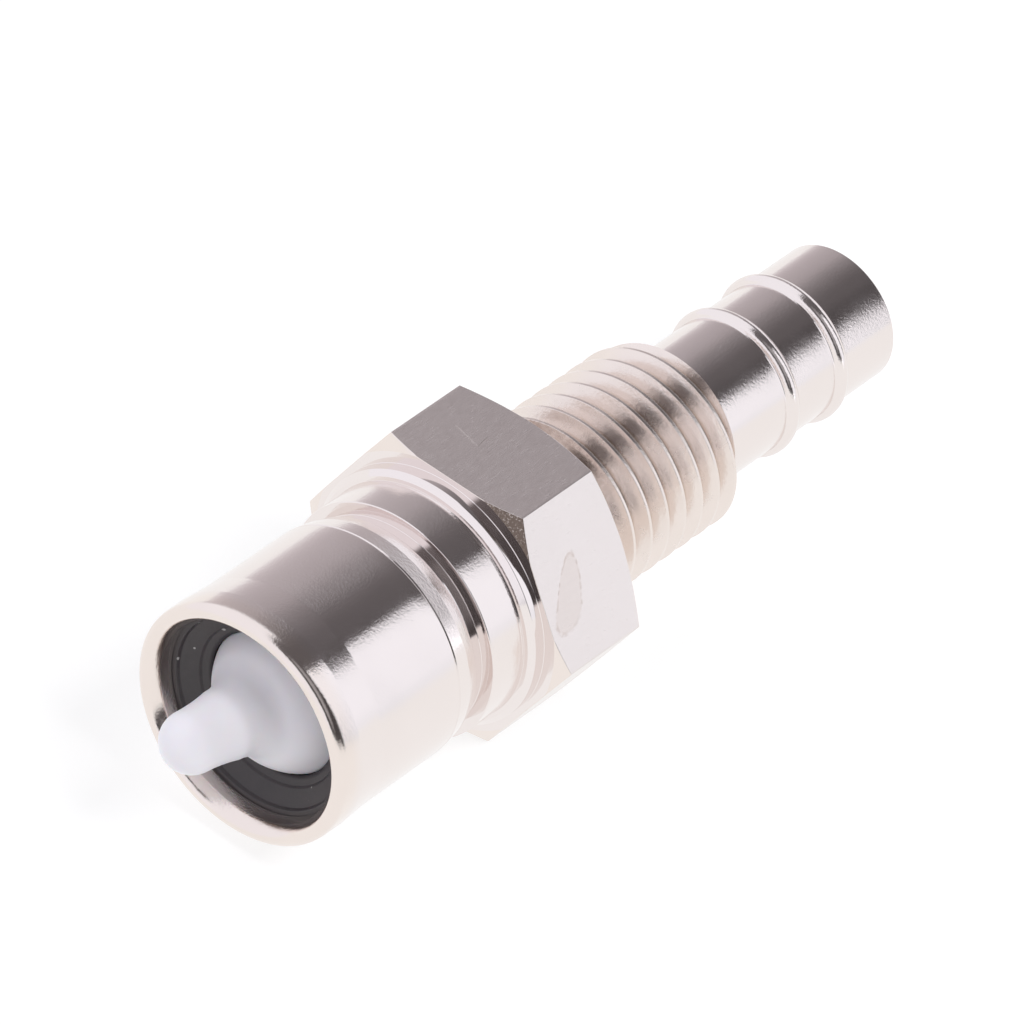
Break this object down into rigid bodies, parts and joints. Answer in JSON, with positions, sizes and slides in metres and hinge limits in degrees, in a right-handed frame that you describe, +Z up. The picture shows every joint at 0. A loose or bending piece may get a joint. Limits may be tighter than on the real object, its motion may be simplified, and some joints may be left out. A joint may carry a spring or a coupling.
{
  "type": "fuel line connector",
  "caption": "Male fuel line connector: a valved quick-connect socket, hexagon, panel thread and barbed hose tail in plated brass.",
  "frame": {"origin": "centre of the hexagon's rear face, the shoulder that meets the panel, on the thread's axis", "axes": "+X along the thread and hose tail, away from the socket's mouth; +Z up with one flat of the hexagon facing down"},
  "size_m": [0.0579, 0.0196, 0.017],
  "materials": {
    "plated_brass": "bright nickel plating over turned brass, warm white",
    "black_rubber": "smooth black fuel-resistant rubber",
    "white_acetal": "satin white moulded plastic",
    "spring_wire": "bright drawn stainless wire"
  },
  "bodies": {
    "housing": {"connector_body": "plated_brass", "valve_seal": "black_rubber", "valve_spring": "spring_wire"},
    "valve": {"valve_poppet": "white_acetal"}
  },
  "joints": [
    {"name": "valve_slide", "type": "slide", "parent": "housing", "child": "valve", "axis": [1, 0, 0], "range_m": [0, 0.004], "stiffness_N_per_m": 400, "springref_m": -0.005, "deforming": ["valve_spring"]}
  ]
}
